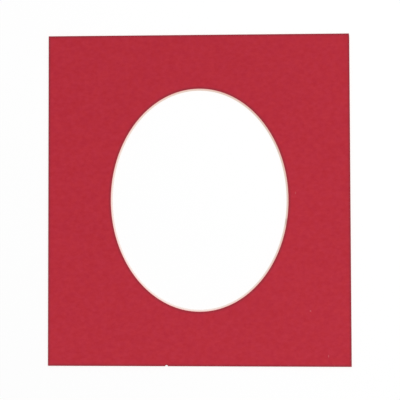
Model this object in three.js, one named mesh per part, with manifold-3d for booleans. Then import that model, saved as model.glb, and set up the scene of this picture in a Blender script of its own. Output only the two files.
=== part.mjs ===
// Oval picture mount: one rectangular sheet of mount board with an oval window cut through it on a bevel.
// The sheet is a thin coloured face paper bonded to a thick pale core. It lies on its back, face up.
// X runs across the sheet, Y runs from its bottom edge to its top edge, and Z rises out of its face.
// The origin is on the back, at the middle of the sheet.

import * as THREE from "three";
import { mergeVertices } from "three/addons/utils/BufferGeometryUtils.js";
import Module from "manifold-3d";

// The sheet
const SHEET_WIDTH = 254;
const SHEET_HEIGHT = 278.6;
const CORE_THICKNESS = 1.35;
const FACE_PAPER_THICKNESS = 0.15;

// The window, whose size and place are those of its edge in the face
const WINDOW_WIDTH = 149.5;
const WINDOW_HEIGHT = 187.6;
const WINDOW_CENTRE_X = 0.7;
const WINDOW_CENTRE_Y = -0.1;
const BEVEL_DEGREES = 45;
const WINDOW_SIDES = 240;

// A small bite out of the bottom edge
const NICK_X = -27.1;
const NICK_WIDTH = 2.1;
const NICK_DEPTH = 1.1;
const NICK_SIDES = 16;

// The top right corner is rubbed back: its side edge leans in as it nears the corner
const RUBBED_LENGTH = 4;
const RUBBED_DEPTH = 0.35;
const RUBBED_SIDES = 6;

// How far the window's cutter runs past the face and the back
const CUTTER_OVERRUN = 1;

const FACE_HEIGHT = CORE_THICKNESS + FACE_PAPER_THICKNESS;

// The sheet's outline, anticlockwise from the bottom left corner
function sheetOutline() {
  const right = SHEET_WIDTH / 2;
  const left = -right;
  const top = SHEET_HEIGHT / 2;
  const bottom = -top;
  const bite = new THREE.EllipseCurve(NICK_X, bottom, NICK_WIDTH / 2, NICK_DEPTH, Math.PI, 0, true);
  const rubbed = new THREE.QuadraticBezierCurve(
    new THREE.Vector2(right, top - RUBBED_LENGTH),
    new THREE.Vector2(right, top - RUBBED_LENGTH / 2),
    new THREE.Vector2(right - RUBBED_DEPTH, top),
  );
  return new THREE.Shape([
    new THREE.Vector2(left, bottom),
    ...bite.getPoints(NICK_SIDES),
    new THREE.Vector2(right, bottom),
    ...rubbed.getPoints(RUBBED_SIDES),
    new THREE.Vector2(left, top),
  ]);
}

// One ring of the bevel's cone at the given height. The bevel leans out towards the face, so each point
// of the window's edge moves along that edge's own normal by the same distance.
function windowRing(height) {
  const halfWidth = WINDOW_WIDTH / 2;
  const halfHeight = WINDOW_HEIGHT / 2;
  const lean = (height - FACE_HEIGHT) * Math.tan(THREE.MathUtils.degToRad(BEVEL_DEGREES));
  const ring = [];
  for (let side = 0; side < WINDOW_SIDES; side += 1) {
    const turn = (side / WINDOW_SIDES) * 2 * Math.PI;
    const normal = new THREE.Vector2(Math.cos(turn) * halfHeight, Math.sin(turn) * halfWidth).normalize();
    const x = WINDOW_CENTRE_X + Math.cos(turn) * halfWidth + normal.x * lean;
    const y = WINDOW_CENTRE_Y + Math.sin(turn) * halfHeight + normal.y * lean;
    ring.push(new THREE.Vector3(x, y, height));
  }
  return ring;
}

// The closed cone that cuts the window: a lower ring, an upper ring and a middle point in each end
function windowCutter() {
  const low = windowRing(-CUTTER_OVERRUN);
  const high = windowRing(FACE_HEIGHT + CUTTER_OVERRUN);
  const lowMiddle = new THREE.Vector3(WINDOW_CENTRE_X, WINDOW_CENTRE_Y, -CUTTER_OVERRUN);
  const highMiddle = new THREE.Vector3(WINDOW_CENTRE_X, WINDOW_CENTRE_Y, FACE_HEIGHT + CUTTER_OVERRUN);
  const corners = [];
  for (let side = 0; side < WINDOW_SIDES; side += 1) {
    const next = (side + 1) % WINDOW_SIDES;
    corners.push(lowMiddle, low[next], low[side]);
    corners.push(highMiddle, high[side], high[next]);
    corners.push(low[side], low[next], high[next]);
    corners.push(low[side], high[next], high[side]);
  }
  return new THREE.BufferGeometry().setFromPoints(corners);
}

const wasm = await Module();
wasm.setup();

function toSolid(geometry) {
  const bare = geometry.clone();
  bare.deleteAttribute("normal");
  bare.deleteAttribute("uv");
  const merged = mergeVertices(bare);
  return new wasm.Manifold(new wasm.Mesh({
    numProp: 3,
    vertProperties: new Float32Array(merged.attributes.position.array),
    triVerts: new Uint32Array(merged.index.array),
  }));
}

function toGeometry(solid) {
  const mesh = solid.getMesh();
  const geometry = new THREE.BufferGeometry();
  geometry.setAttribute("position", new THREE.BufferAttribute(new Float32Array(mesh.vertProperties), 3));
  geometry.setIndex(new THREE.BufferAttribute(new Uint32Array(mesh.triVerts), 1));
  geometry.computeVertexNormals();
  return geometry;
}

// One layer of the sheet: the outline at its own heights, less the window's cone
function layer(name, bottomHeight, thickness, material) {
  const blank = new THREE.ExtrudeGeometry(sheetOutline(), { depth: thickness, bevelEnabled: false });
  blank.translate(0, 0, bottomHeight);
  const mesh = new THREE.Mesh(toGeometry(toSolid(blank).subtract(toSolid(windowCutter()))), material);
  mesh.name = name;
  return mesh;
}

const facePaper = new THREE.MeshStandardMaterial({ color: "#b7303e", roughness: 0.85, metalness: 0 });
const coreBoard = new THREE.MeshStandardMaterial({ color: "#f5e7dd", roughness: 0.9, metalness: 0 });

const mount = new THREE.Group();
mount.add(layer("core_board", 0, CORE_THICKNESS, coreBoard));
mount.add(layer("face_paper", CORE_THICKNESS, FACE_PAPER_THICKNESS, facePaper));

export default mount;
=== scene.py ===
import math

import bpy
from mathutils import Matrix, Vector, noise


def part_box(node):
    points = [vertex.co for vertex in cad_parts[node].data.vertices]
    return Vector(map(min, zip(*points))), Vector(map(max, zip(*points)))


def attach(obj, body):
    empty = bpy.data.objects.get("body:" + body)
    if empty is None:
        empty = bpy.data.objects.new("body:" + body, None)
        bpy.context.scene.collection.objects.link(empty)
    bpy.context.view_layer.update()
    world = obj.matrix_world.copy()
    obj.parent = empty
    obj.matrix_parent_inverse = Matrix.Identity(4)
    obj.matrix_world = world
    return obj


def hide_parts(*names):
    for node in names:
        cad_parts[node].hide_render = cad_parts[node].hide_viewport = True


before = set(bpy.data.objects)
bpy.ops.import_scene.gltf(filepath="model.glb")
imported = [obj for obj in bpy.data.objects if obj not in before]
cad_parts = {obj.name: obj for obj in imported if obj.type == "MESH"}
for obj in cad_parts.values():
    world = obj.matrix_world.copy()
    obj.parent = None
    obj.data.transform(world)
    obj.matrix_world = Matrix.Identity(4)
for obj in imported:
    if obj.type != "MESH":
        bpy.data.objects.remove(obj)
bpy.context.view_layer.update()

# An oval picture mount: red face paper on a cream core, lying face up on a pale floor.
# The sheet's sizes are in millimetres, and become metres where a mesh or a texture is made. The floor's, the
# lamp's and the camera's are in metres.
MM = 0.001


# What the CAD nodes give

def window_edge(node, height):
    """The middle and the half sizes of the window's edge in one flat face of a node."""
    low, high = (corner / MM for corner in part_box(node))
    margin = 10
    level = 0.01
    inside = [
        point
        for point in (vertex.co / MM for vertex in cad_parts[node].data.vertices)
        if abs(point.z - height) < level
        and low.x + margin < point.x < high.x - margin
        and low.y + margin < point.y < high.y - margin
    ]
    across = [point.x for point in inside]
    along = [point.y for point in inside]
    middle = Vector(((min(across) + max(across)) / 2, (min(along) + max(along)) / 2))
    half = Vector(((max(across) - min(across)) / 2, (max(along) - min(along)) / 2))
    return middle, half


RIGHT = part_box("face_paper")[1].x / MM
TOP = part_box("face_paper")[1].y / MM
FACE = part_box("face_paper")[1].z / MM
PAPER_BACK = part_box("face_paper")[0].z / MM
WINDOW_MIDDLE, WINDOW_HALF = window_edge("face_paper", FACE)
BEVEL_SLOPE = (WINDOW_HALF.x - window_edge("core_board", 0)[1].x) / FACE

# Small features of the outline. The nick is a little squarer and 0.15 mm shallower than in the CAD
NICK_X = -27.1
NICK_WIDTH = 2.1
NICK_DEPTH = 0.95
NICK_SQUARENESS = 0.5
RUBBED_LENGTH = 4.0
RUBBED_DEPTH = 0.35

# How finely the outline is drawn, how many plies the board has, and the groove at each ply's joint
STEP = 0.8
NICK_STEPS = 28
RUBBED_STEPS = 10
PLIES = 4
GROOVE_DEPTH = 0.015
GROOVE_HALF_WIDTH = 0.03
# How far the face paper's top edges are rolled over, and how far the core's two edges on the back are eased
EDGE_ROLL = 0.12
WINDOW_ROLL = 0.06
BACK_ROLL = 0.05
BEVEL_FOOT = 0.03
# How uneven the nick is, how far the paper is torn back over it, and where the noise for both is read
RAGGED = 0.10
RAGGED_SPEED = 2.5
RAGGED_PLACE = (0.7, 3.1)
TORN_BACK = 0.10
TORN_UNEVEN = 0.7
TORN_SPEED = 4.0
TORN_PLACE = (2.9, 0.4)
# How far in from the outline its wear is still felt, and how far from a corner the inner rings close up
WEAR_REACH = 2.4
CORNER_REACH = 20.0
# The middle stretch of a flat face: how far in it starts, and in how many steps it is crossed
ACROSS_MARGIN = 4.0
ACROSS_STEPS = 5
# Mesh edges sharper than this stay crisp
SHARP_DEGREES = 28
# The burnished band that the knife leaves beside a cut: distances from the cut, and how strong it is there
BURNISHED = [(0.3, 1.0), (0.9, 0.85), (1.5, 0.35), (2.4, 0.0)]


# The outline

def inward(value, half, inset):
    """One coordinate of an outline point, on a sheet that is smaller by the inset. Only the last stretch
    before a corner closes up, so the rest of a side moves straight in."""
    stretch = max(0.0, abs(value) - (half - CORNER_REACH)) / CORNER_REACH
    return math.copysign(abs(value) - inset * stretch, value)


def fade(inset):
    """How much of the outline's wear is left at an inset."""
    return max(0.0, 1 - inset / WEAR_REACH)


class Column:
    """One place round the sheet: a point of its straight outline, how far wear has drawn it in, and how
    much further the face paper is torn back there."""

    def __init__(self, base, drawn_in=(0, 0), torn=(0, 0)):
        self.base = base
        self.drawn_in = Vector(drawn_in)
        self.torn = Vector(torn)
        offset = base - WINDOW_MIDDLE
        self.turn = math.atan2(offset.y / WINDOW_HALF.y, offset.x / WINDOW_HALF.x)

    def outer(self, inset=0.0):
        """The outline's point, on a sheet that is smaller by the inset on every side."""
        point = Vector((inward(self.base.x, RIGHT, inset), inward(self.base.y, TOP, inset)))
        return point + self.drawn_in * fade(inset)

    def paper(self, inset=0.0):
        """The same for the face paper's upper side."""
        return self.outer(inset) + self.torn * fade(inset)

    def window(self, height, inset=0.0):
        """The bevel's point at a height, drawn back into the board."""
        across = math.cos(self.turn)
        along = math.sin(self.turn)
        normal = Vector((across * WINDOW_HALF.y, along * WINDOW_HALF.x)).normalized()
        edge = Vector((across * WINDOW_HALF.x, along * WINDOW_HALF.y))
        return WINDOW_MIDDLE + edge + normal * ((height - FACE) * BEVEL_SLOPE + inset)


def straight(start, end):
    """Columns along a straight side, from its start up to but not including its end."""
    start = Vector(start)
    end = Vector(end)
    count = max(1, round((end - start).length / STEP))
    return [Column(start.lerp(end, i / count)) for i in range(count)]


def waver(turn, speed, place):
    """Smooth noise round the nick, from about -1 to 1."""
    return noise.noise(Vector((turn * speed, *place)))


def nick():
    """Columns round the nick in the bottom edge, with its ragged outline and the paper torn back over it."""
    columns = []
    for i in range(NICK_STEPS + 1):
        turn = math.pi * i / NICK_STEPS
        ragged = 1 + RAGGED * waver(turn, RAGGED_SPEED, RAGGED_PLACE)
        uneven = 1 + TORN_UNEVEN * waver(turn, TORN_SPEED, TORN_PLACE) * math.sin(turn) ** 2
        base = Vector((NICK_X - math.cos(turn) * NICK_WIDTH / 2, -TOP))
        drawn_in = (0, NICK_DEPTH * ragged * math.sin(turn) ** NICK_SQUARENESS)
        columns.append(Column(base, drawn_in, (0, TORN_BACK * uneven * math.sin(turn))))
    return columns


def rubbed_side():
    """Columns up the last of the right side, which leans in towards the top corner."""
    columns = []
    for i in range(RUBBED_STEPS + 1):
        part = i / RUBBED_STEPS
        base = Vector((RIGHT, TOP - RUBBED_LENGTH * (1 - part)))
        columns.append(Column(base, (-RUBBED_DEPTH * part**2, 0)))
    return columns


def outline():
    """All the columns, anticlockwise from the bottom left corner."""
    nick_left = NICK_X - NICK_WIDTH / 2
    nick_right = NICK_X + NICK_WIDTH / 2
    columns = straight((-RIGHT, -TOP), (nick_left, -TOP))
    columns += nick()
    columns += straight((nick_right, -TOP), (RIGHT, -TOP))[1:]
    columns += straight((RIGHT, -TOP), (RIGHT, TOP - RUBBED_LENGTH))
    columns += rubbed_side()
    columns += straight((RIGHT - RUBBED_DEPTH, TOP), (-RIGHT, TOP))[1:]
    columns += straight((-RIGHT, TOP), (-RIGHT, -TOP))
    return columns


COLUMNS = outline()


# The two layers, each a closed loft of rings round the sheet

class Ring:
    """One ring of a loft: a plan point for each column, a height, how far the sheet is burnished there,
    and whether the ring lies on a cut."""

    def __init__(self, place, height, wear=0.0, cut=0.0):
        self.points = [place(column) for column in COLUMNS]
        self.height = height
        self.wear = wear
        self.cut = cut


def outer_ring(height, inset=0.0, wear=1.0, cut=1.0):
    """A ring along the outline, with the inset given."""
    return Ring(lambda column: column.outer(inset), height, wear, cut)


def paper_ring(height, inset=0.0, wear=1.0, cut=1.0):
    """A ring along the outline of the face paper's upper side."""
    return Ring(lambda column: column.paper(inset), height, wear, cut)


def bevel_ring(height, inset=0.0, wear=1.0, cut=1.0):
    """A ring along the window, where the bevel has that height."""
    return Ring(lambda column: column.window(height, inset), height, wear, cut)


def across(column, height, part):
    """A plan point part of the way from the outline to the window."""
    return column.outer(ACROSS_MARGIN).lerp(column.window(height, ACROSS_MARGIN), part)


def flat_rings(height, outline, outer_inset, window_inset):
    """Rings across a flat face, from just inside the outline to just outside the window."""
    rings = [outline(height, outer_inset + step, wear, 0.0) for step, wear in BURNISHED]
    for i in range(1, ACROSS_STEPS):
        part = i / ACROSS_STEPS
        rings.append(Ring(lambda column, part=part: across(column, height, part), height))
    rings += [bevel_ring(height, window_inset + step, wear, 0.0) for step, wear in reversed(BURNISHED)]
    return rings


def ply_heights(low, high):
    """Heights of the rings that draw a groove at each ply's joint, as pairs of height and inset."""
    ply = FACE / PLIES
    rows = []
    for joint in range(1, PLIES):
        middle = joint * ply
        if low < middle < high:
            rows.append((middle - GROOVE_HALF_WIDTH, 0.0))
            rows.append((middle, GROOVE_DEPTH))
            rows.append((middle + GROOVE_HALF_WIDTH, 0.0))
    return rows


def loft(name, rings):
    """A closed mesh through the rings, from the first to the last and back to the first."""
    vertices = []
    for ring in rings:
        vertices += [(point.x * MM, point.y * MM, ring.height * MM) for point in ring.points]
    around = len(COLUMNS)
    faces = []
    for r in range(len(rings)):
        this = r * around
        after = (r + 1) % len(rings) * around
        for c in range(around):
            d = (c + 1) % around
            faces.append((this + c, this + d, after + d, after + c))
    mesh = bpy.data.meshes.new(name)
    mesh.from_pydata(vertices, [], faces)
    for kind in ("wear", "cut"):
        values = mesh.attributes.new(kind, "FLOAT", "POINT")
        values.data.foreach_set("value", [getattr(ring, kind) for ring in rings for _ in COLUMNS])
    mesh.shade_smooth()
    mesh.set_sharp_from_angle(angle=math.radians(SHARP_DEGREES))
    piece = bpy.data.objects.new(name, mesh)
    bpy.context.scene.collection.objects.link(piece)
    return piece


def face_paper():
    """The red face paper, whose top edges are rolled over by the knife."""
    roll = [(EDGE_ROLL / 2, EDGE_ROLL / 12), (EDGE_ROLL / 6, EDGE_ROLL / 3), (0.0, EDGE_ROLL)]
    rings = [outer_ring(PAPER_BACK), paper_ring(FACE - EDGE_ROLL * 3 / 4)]
    rings += [paper_ring(FACE - depth, inset, cut=0.0) for depth, inset in roll]
    rings += flat_rings(FACE, paper_ring, EDGE_ROLL, WINDOW_ROLL)
    rings.append(bevel_ring(FACE, WINDOW_ROLL / 2, cut=0.0))
    rings.append(bevel_ring(FACE - WINDOW_ROLL / 3, WINDOW_ROLL / 6))
    rings.append(bevel_ring(PAPER_BACK))
    rings += reversed(flat_rings(PAPER_BACK, outer_ring, 0.0, 0.0))
    return loft("red_face_paper", rings)


def core_board():
    """The cream core, with a fine groove along each ply's joint on its cut edges."""
    rows = ply_heights(0, PAPER_BACK)
    rings = [outer_ring(0, BACK_ROLL), outer_ring(BACK_ROLL)]
    rings += [outer_ring(height, inset) for height, inset in rows]
    rings.append(outer_ring(PAPER_BACK))
    rings += flat_rings(PAPER_BACK, outer_ring, 0.0, 0.0)
    rings.append(bevel_ring(PAPER_BACK))
    rings += [bevel_ring(height, inset) for height, inset in reversed(rows)]
    rings += [bevel_ring(BEVEL_FOOT), bevel_ring(0, BEVEL_FOOT)]
    rings += reversed(flat_rings(0, outer_ring, BACK_ROLL, BEVEL_FOOT))
    return loft("cream_core_board", rings)


# Materials

class Shader:
    """A material's node tree, with short calls that add nodes and link them."""

    def __init__(self, name):
        self.material = bpy.data.materials.new(name)
        self.material.use_nodes = True
        self.tree = self.material.node_tree
        self.surface = self.tree.nodes["Principled BSDF"]
        self.place = self.node("ShaderNodeTexCoord").outputs["Object"]

    def node(self, kind, links=None, **settings):
        made = self.tree.nodes.new(kind)
        for key, value in settings.items():
            setattr(made, key, value)
        for socket, value in (links or {}).items():
            if isinstance(value, bpy.types.NodeSocket):
                self.tree.links.new(value, made.inputs[socket])
            else:
                made.inputs[socket].default_value = value
        return made

    def link(self, value, socket):
        self.tree.links.new(value, self.surface.inputs[socket])

    def attribute(self, name):
        return self.node("ShaderNodeAttribute", attribute_name=name).outputs["Fac"]

    def noise(self, size, detail=2.0, stretch=(1, 1, 1), roughness=0.5):
        """Noise from 0 to 1 whose features are about size millimetres, stretched along the axes."""
        scale = tuple(1 / (size * MM * part) for part in stretch)
        moved = self.node("ShaderNodeMapping", {"Vector": self.place, "Scale": scale})
        made = self.node(
            "ShaderNodeTexNoise",
            {"Vector": moved.outputs[0], "Scale": 1.0, "Detail": detail, "Roughness": roughness},
        )
        return made.outputs["Fac"]

    def spread(self, value, low, high):
        """Noise from 0 to 1, spread from low to high."""
        made = self.node("ShaderNodeMapRange", {"Value": value, "To Min": low, "To Max": high})
        return made.outputs["Result"]

    def about_one(self, value, amount):
        """Noise from 0 to 1, spread about 1 by an amount each way."""
        return self.spread(value, 1 - amount, 1 + amount)

    def ramp(self, value, low, high):
        """0 up to the low value, 1 from the high one on, and a straight line between them."""
        made = self.node("ShaderNodeMapRange", {"Value": value, "From Min": low, "From Max": high})
        return made.outputs["Result"]

    def maths(self, operation, first, second):
        made = self.node("ShaderNodeMath", {0: first, 1: second}, operation=operation)
        return made.outputs[0]

    def mix(self, factor, first, second, blend="MIX"):
        colours = {0: factor, 6: first, 7: second}
        return self.node("ShaderNodeMix", colours, data_type="RGBA", blend_type=blend).outputs[2]

    def times(self, first, second):
        """One colour multiplied by another."""
        return self.mix(1.0, first, second, "MULTIPLY")

    def tone(self, colour, value):
        """The colour made lighter or darker by a number about 1."""
        grey = self.node("ShaderNodeCombineColor", {"Red": value, "Green": value, "Blue": value})
        return self.times(colour, grey.outputs[0])

    def vector_maths(self, operation, first, second=(0, 0, 0)):
        return self.node("ShaderNodeVectorMath", {0: first, 1: second}, operation=operation)

    def away_from(self, point):
        """The way from a point, given in millimetres, to the place that is shaded."""
        return self.vector_maths("SUBTRACT", self.place, tuple(v * MM for v in point)).outputs[0]

    def slope(self, start, end, low, high):
        """A number that runs from low at one point to high at another. Both points are in millimetres."""
        along = Vector(end) - Vector(start)
        scaled = along / (along.length_squared * MM)
        part = self.vector_maths("DOT_PRODUCT", self.away_from(start), tuple(scaled))
        return self.spread(part.outputs["Value"], low, high)

    def spot(self, middle, size, core=0.4):
        """1 over the core of a small soft-edged spot and 0 outside it. The place and the half sizes are in
        millimetres, and the core is a part of them."""
        shaped = self.vector_maths("DIVIDE", self.away_from(middle), tuple(v * MM for v in size))
        length = self.vector_maths("LENGTH", shaped.outputs[0])
        limits = {"From Min": core, "From Max": 1.0, "To Min": 1.0, "To Max": 0.0}
        edge = {"Value": length.outputs["Value"], **limits}
        return self.node("ShaderNodeMapRange", edge, interpolation_type="SMOOTHSTEP").outputs["Result"]

    def bump(self, height, strength, distance):
        relief = {"Height": height, "Strength": strength, "Distance": distance * MM}
        self.link(self.node("ShaderNodeBump", relief).outputs[0], "Normal")


# Colours, as linear red, green and blue. The two reds lie in patches on the face
RED = (0.487, 0.0227, 0.0398, 1)
COOL_RED = (0.481, 0.0227, 0.0434, 1)
BURNISHED_RED = (0.330, 0.0245, 0.0400, 1)
CUT_RED = (0.72, 0.12, 0.13, 1)
PALE_RED = (0.72, 0.22, 0.24, 1)
# The next two creams are painted light and painted shade for the cut: the lit one paler, the shaded one
# deeper
LIT_CREAM = (0.985, 0.83, 0.775, 1)
SHADED_CREAM = (0.93, 0.725, 0.61, 1)
DYED_CREAM = (0.98, 0.55, 0.52, 1)
BACK = (0.84, 0.76, 0.655, 1)
FIBRE = (0.60, 0.46, 0.33, 1)
SOILED = (0.50, 0.33, 0.28, 1)

# The face paper's mottle: its size in millimetres, and what it multiplies a colour by where it is darkest
# and lightest
MOTTLE_SIZE = 2.8
MOTTLE_STRETCH = (1.35, 1, 1)
MOTTLE_DARK = (0.905, 0.64, 0.74, 1)
MOTTLE_LIGHT = (1.095, 1.36, 1.26, 1)
# Its clouding and its fine tooth: their sizes, and how far each one changes the tone
CLOUD_SIZE = 60
CLOUD_TONE = 0.015
TOOTH_SIZE = 0.28
TOOTH_STRETCH = (2.5, 1, 1)
TOOTH_TONE = 0.07
TOOTH_BUMP = 0.6
TOOTH_HEIGHT = 0.08
# Patches of a slightly cooler red: their size, and the stretch of the noise over which they come in
PATCH_SIZE = 5.0
PATCH_FROM = 0.35
PATCH_TO = 0.65
# Painted shade and painted light on the face, a touch darker red at its top left and paler at its bottom
# right:
# what the colour is multiplied by at each, and where each lies
SHADED_FACE_TONE = (0.967, 0.925, 0.945, 1)
LIT_FACE_TONE = (1.033, 1.075, 1.055, 1)
SHADED_FACE_END = (-60.0, 139.0, 0.0)
LIT_FACE_END = (60.0, -139.0, 0.0)
# Pale flecks on the face: where each is, its half sizes and how strong it is
FLECKS = [
    ((93.1, -93.0), (0.9, 0.9), 0.30),
    ((107.9, -130.5), (0.5, 1.5), 0.35),
    ((81.2, 5.4), (0.5, 1.5), 0.25),
]
# How rough the paper is, from least to most, and how much it shines
PAPER_ROUGHNESS = (0.78, 0.92)
PAPER_GLOSS = 0.2

# The core's pulp and clouding in the same way, and the faint lines along its plies that show on a cut
PULP_SIZE = 0.5
PULP_TONE = 0.06
PULP_BUMP = 0.3
PULP_HEIGHT = 0.05
CLOUDING_SIZE = 5.0
CLOUDING_TONE = 0.03
LINE_SIZE = 1.0
LINE_STRETCH = (14, 14, 0.09)
LINE_TONES = (1.03, 0.95)
# Stray fibres: their size, the stretch of the noise over which they show, and how strong they are
STRAY_SIZE = 1.1
STRAY_STRETCH = (3.0, 0.5, 1)
STRAY_FROM = 0.69
STRAY_TO = 0.75
STRAY_SHADE = 0.35
# Painted light and shade on the cut: painted light at the window's lower left and painted shade at its upper
# right
LIT_CUT_END = (-55.0, -55.0, 0.0)
SHADED_CUT_END = (55.0, 55.0, 0.0)
# Just under the face paper the cut is tinged with the paper's dye
DYE_REACH = 0.7
DYE_SHADE = 0.75
# A soiled stretch of the bevel, on the right below the middle
MARK_PLACE = (73.6, -19.3, 1.0)
MARK_SIZE = (1.3, 5.0, 3.0)
MARK_SHADE = 0.6
# How rough the core is, from least to most, and how much it shines
PULP_ROUGHNESS = (0.86, 0.96)
PULP_GLOSS = 0.25


def red_paper():
    """Matte coloured paper: a fine tooth and a faint mottle along the sheet. It is darker beside a cut,
    where the knife's rule pressed it, and paler on the cut itself, where the paper's own pulp shows."""
    shader = Shader("red_mount_paper")
    mottle = shader.noise(MOTTLE_SIZE, detail=2.0, stretch=MOTTLE_STRETCH)
    cloud = shader.about_one(shader.noise(CLOUD_SIZE, detail=1.0), CLOUD_TONE)
    # Painted shade towards the face's top left and painted light towards its bottom right
    painted_face_light = shader.mix(shader.slope(SHADED_FACE_END, LIT_FACE_END, 0.0, 1.0), SHADED_FACE_TONE, LIT_FACE_TONE)
    tooth = shader.noise(TOOTH_SIZE, detail=3.0, stretch=TOOTH_STRETCH, roughness=0.6)
    patches = shader.ramp(shader.noise(PATCH_SIZE, detail=1.0), PATCH_FROM, PATCH_TO)
    colour = shader.mix(patches, RED, COOL_RED)
    colour = shader.mix(shader.attribute("wear"), colour, BURNISHED_RED)
    colour = shader.times(colour, shader.mix(mottle, MOTTLE_DARK, MOTTLE_LIGHT))
    colour = shader.times(colour, painted_face_light)
    colour = shader.tone(colour, cloud)
    colour = shader.tone(colour, shader.about_one(tooth, TOOTH_TONE))
    for (x, y), (width, height), strength in FLECKS:
        mask = shader.maths("MULTIPLY", shader.spot((x, y, FACE), (width, height, 1)), strength)
        colour = shader.mix(mask, colour, PALE_RED)
    colour = shader.mix(shader.attribute("cut"), colour, CUT_RED)
    shader.link(colour, "Base Color")
    shader.link(shader.spread(tooth, *PAPER_ROUGHNESS), "Roughness")
    shader.surface.inputs["Specular IOR Level"].default_value = PAPER_GLOSS
    shader.bump(tooth, TOOTH_BUMP, TOOTH_HEIGHT)
    return shader.material


def cream_board():
    """Pulp board: pale with a few stray fibres, faint lines along its plies on a cut, and a soiled mark."""
    shader = Shader("cream_core_board")
    pulp = shader.noise(PULP_SIZE, detail=4.0, roughness=0.65)
    layers = shader.noise(LINE_SIZE, detail=3.0, stretch=LINE_STRETCH)
    cut = shader.attribute("cut")
    lines = shader.maths("MULTIPLY", cut, layers)
    dye = shader.slope((0, 0, PAPER_BACK - DYE_REACH), (0, 0, PAPER_BACK), 0.0, DYE_SHADE)
    # Painted light and shade across the cut, from the window's lower left to its upper right
    cream = shader.mix(shader.slope(LIT_CUT_END, SHADED_CUT_END, 0.0, 1.0), LIT_CREAM, SHADED_CREAM)
    colour = shader.mix(cut, BACK, cream)
    colour = shader.mix(shader.maths("MULTIPLY", dye, cut), colour, DYED_CREAM)
    colour = shader.tone(colour, shader.about_one(pulp, PULP_TONE))
    colour = shader.tone(colour, shader.about_one(shader.noise(CLOUDING_SIZE, detail=2.0), CLOUDING_TONE))
    colour = shader.tone(colour, shader.spread(lines, *LINE_TONES))
    strands = shader.noise(STRAY_SIZE, detail=2.0, stretch=STRAY_STRETCH, roughness=0.55)
    stray = shader.maths("MULTIPLY", shader.ramp(strands, STRAY_FROM, STRAY_TO), STRAY_SHADE)
    colour = shader.mix(stray, colour, FIBRE)
    mark = shader.maths("MULTIPLY", shader.spot(MARK_PLACE, MARK_SIZE), cut)
    colour = shader.mix(shader.maths("MULTIPLY", mark, MARK_SHADE), colour, SOILED)
    shader.link(colour, "Base Color")
    shader.link(shader.spread(pulp, *PULP_ROUGHNESS), "Roughness")
    shader.surface.inputs["Specular IOR Level"].default_value = PULP_GLOSS
    shader.bump(shader.maths("ADD", pulp, lines), PULP_BUMP, PULP_HEIGHT)
    return shader.material


def dress(piece, node, material):
    piece.data.materials.append(material)
    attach(piece, "root")
    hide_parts(node)


# The floor, the light and the camera

# The light from all round, and the one soft lamp: its power, width and place
ROOM_LIGHT = 0.70
LAMP_WATTS = 30.1
LAMP_SIDE = 2.0
LAMP_PLACE = Vector((1.05, 0.62, 2.83))
# The floor's own shade and half width, and how far it is lifted to white near the sheet and at its far edge
FLOOR_SHADE = 0.80
FLOOR_HALF = 3.0
LIFT_FROM = 0.3
NEAR_LIFT = 0.23
FAR_LIFT = 0.45


def seen_directly(tree):
    """1 where a surface is seen by the camera or in a reflection, and 0 where it only lights things."""
    path = tree.nodes.new("ShaderNodeLightPath")
    seen = path.outputs["Is Camera Ray"]
    for ray in ("Is Glossy Ray", "Is Transmission Ray"):
        larger = tree.nodes.new("ShaderNodeMath")
        larger.operation = "MAXIMUM"
        tree.links.new(seen, larger.inputs[0])
        tree.links.new(path.outputs[ray], larger.inputs[1])
        seen = larger.outputs[0]
    return seen


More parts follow.
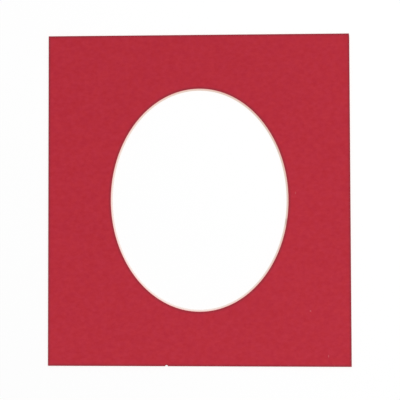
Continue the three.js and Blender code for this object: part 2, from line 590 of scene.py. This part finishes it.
def floor():
    """A pale floor that shows white and keeps the sheet's shadow."""
    shader = Shader("floor")
    surface = shader.surface
    surface.inputs["Base Color"].default_value = (FLOOR_SHADE, FLOOR_SHADE, FLOOR_SHADE, 1)
    surface.inputs["Roughness"].default_value = 1.0
    surface.inputs["Specular IOR Level"].default_value = 0.0
    surface.inputs["Emission Color"].default_value = (1, 1, 1, 1)
    away = shader.vector_maths("LENGTH", shader.place)
    limits = {"From Min": LIFT_FROM, "From Max": FLOOR_HALF, "To Min": NEAR_LIFT, "To Max": FAR_LIFT}
    lift = shader.node("ShaderNodeMapRange", {"Value": away.outputs["Value"], **limits})
    seen = seen_directly(shader.tree)
    shader.link(shader.maths("MULTIPLY", seen, lift.outputs["Result"]), "Emission Strength")
    half = FLOOR_HALF
    mesh = bpy.data.meshes.new("floor")
    corners = [(-half, -half, 0), (half, -half, 0), (half, half, 0), (-half, half, 0)]
    mesh.from_pydata(corners, [], [(0, 1, 2, 3)])
    mesh.materials.append(shader.material)
    plane = bpy.data.objects.new("floor", mesh)
    bpy.context.scene.collection.objects.link(plane)


def room():
    """Even light from all round, which shows as plain white."""
    world = bpy.data.worlds.new("room")
    bpy.context.scene.world = world
    world.use_nodes = True
    tree = world.node_tree
    background = tree.nodes["Background"]
    background.inputs["Color"].default_value = (1, 1, 1, 1)
    level = tree.nodes.new("ShaderNodeMapRange")
    level.inputs["To Min"].default_value = ROOM_LIGHT
    level.inputs["To Max"].default_value = 1.0
    tree.links.new(seen_directly(tree), level.inputs["Value"])
    tree.links.new(level.outputs["Result"], background.inputs["Strength"])


def lamp():
    """One large soft lamp above the sheet, towards its top right."""
    data = bpy.data.lights.new("soft_lamp", "AREA")
    data.shape = "SQUARE"
    data.size = LAMP_SIDE
    data.energy = LAMP_WATTS
    light = bpy.data.objects.new("soft_lamp", data)
    light.location = LAMP_PLACE
    light.rotation_euler = (-LAMP_PLACE).to_track_quat("-Z", "Y").to_euler()
    bpy.context.scene.collection.objects.link(light)


# The camera looks almost straight down at the sheet, with the sheet's top edge at the top of the view
CAMERA_PLACE = (0.01097, -0.00835, 0.45072)
CAMERA_TURN = (1.028, 1.241, -0.149)
CAMERA_LENS = 48.15
CAMERA_SENSOR = 36
CAMERA_NEAR = 0.01


def camera():
    data = bpy.data.cameras.new("camera")
    data.lens = CAMERA_LENS
    data.sensor_width = CAMERA_SENSOR
    data.clip_start = CAMERA_NEAR
    eye = bpy.data.objects.new("camera", data)
    eye.location = CAMERA_PLACE
    eye.rotation_euler = tuple(math.radians(turn) for turn in CAMERA_TURN)
    bpy.context.scene.collection.objects.link(eye)
    bpy.context.scene.camera = eye


camera()
floor()
room()
lamp()
dress(face_paper(), "face_paper", red_paper())
dress(core_board(), "core_board", cream_board())
bpy.context.scene.view_settings.view_transform = "Standard"

bpy.context.view_layer.update()
